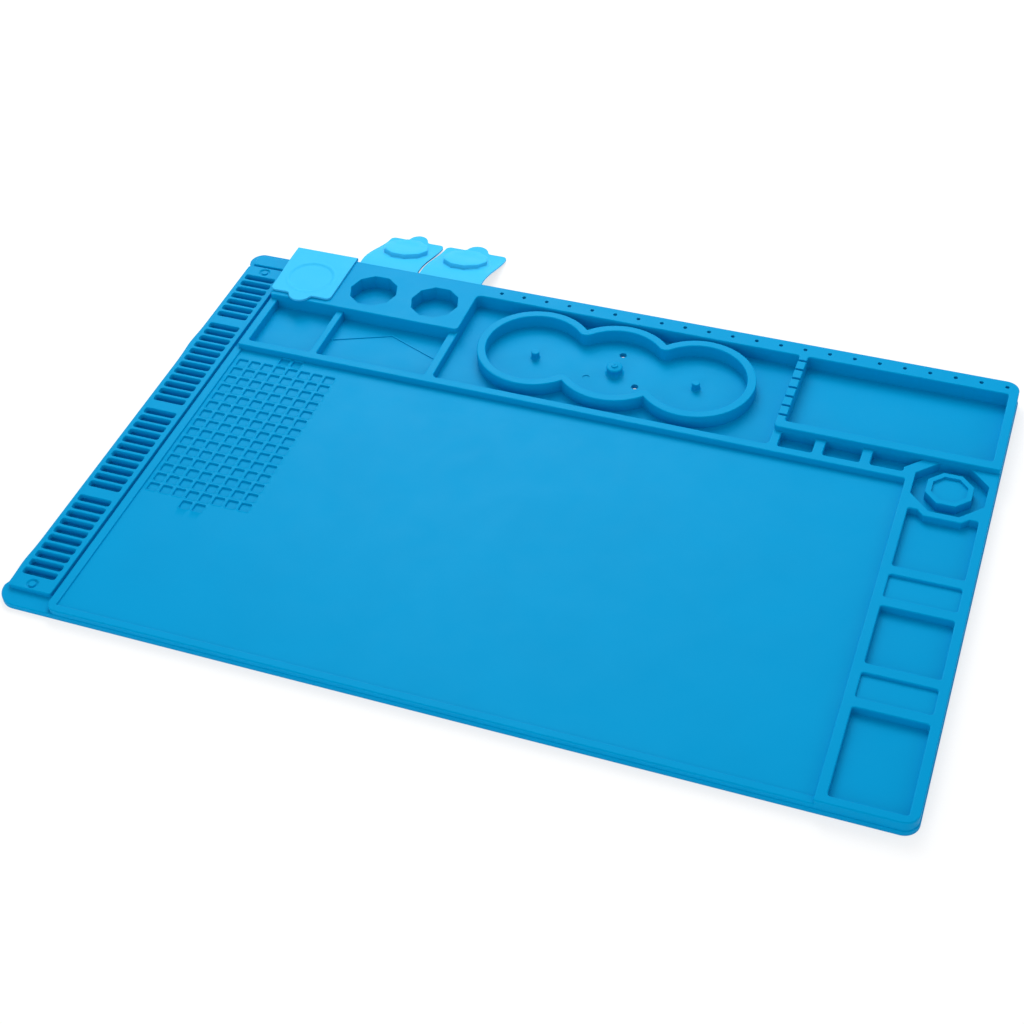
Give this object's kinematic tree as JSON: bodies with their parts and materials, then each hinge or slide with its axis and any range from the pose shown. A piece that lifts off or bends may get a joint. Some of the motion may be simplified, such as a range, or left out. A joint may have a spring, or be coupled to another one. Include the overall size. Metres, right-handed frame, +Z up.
{
  "type": "parts sorting tray",
  "caption": "Soft silicone sorting and repair mat with a slotted tool rack, screw pockets, open trays, a lobed dish and small pots closed by hinged lids.",
  "frame": {"origin": "middle of the mat's flat underside, on the bench", "axes": "+X to the right along the long side, towards the column of trays; +Y towards the back edge, where the lids are; +Z up"},
  "size_m": [0.48, 0.3675, 0.0132],
  "materials": {
    "silicone": "satin",
    "silicone_lid": "satin"
  },
  "bodies": {
    "mat": {"base_sheet": "silicone", "tool_rack": "silicone", "rack_pegs": "silicone", "rack_end_stop": "silicone", "work_panel": "silicone", "panel_rim": "silicone", "front_rail": "silicone", "bay_outer_wall": "silicone", "bay_divider": "silicone", "dish_divider": "silicone", "chevron_rib": "silicone", "pot_block": "silicone", "back_rail": "silicone", "dish_ring": "silicone", "dish_pins": "silicone", "dish_post": "silicone", "notched_divider": "silicone", "tray_front_wall": "silicone", "tray_side_wall": "silicone", "bit_slot_dividers": "silicone", "octagon_frame": "silicone", "octagon_cup": "silicone", "column_inner_wall": "silicone", "column_outer_wall": "silicone", "column_crossbars": "silicone", "deep_tray_floors": "silicone", "shallow_tray_floors": "silicone", "left_hinge_web": "silicone_lid", "middle_hinge_web": "silicone_lid", "right_hinge_web": "silicone_lid"},
    "left_lid_body": {"left_lid": "silicone_lid", "left_plug": "silicone_lid"},
    "middle_lid_body": {"middle_lid": "silicone_lid", "middle_plug": "silicone_lid"},
    "right_lid_body": {"right_lid": "silicone_lid", "right_plug": "silicone_lid"}
  },
  "joints": [
    {"name": "left_lid_hinge", "type": "hinge", "parent": "mat", "child": "left_lid_body", "pos_m": [-0.18655, 0.1593, 0.0119], "axis": [-1, 0, 0], "range_deg": [0, 192.08], "deforming": ["left_hinge_web"]},
    {"name": "middle_lid_hinge", "type": "hinge", "parent": "mat", "child": "middle_lid_body", "pos_m": [-0.14645, 0.1593, 0.0119], "axis": [1, 0, 0], "range_deg": [0, 192.08], "deforming": ["middle_hinge_web"]},
    {"name": "right_lid_hinge", "type": "hinge", "parent": "mat", "child": "right_lid_body", "pos_m": [-0.10635, 0.1593, 0.0119], "axis": [1, 0, 0], "range_deg": [0, 192.08], "deforming": ["right_hinge_web"]}
  ]
}
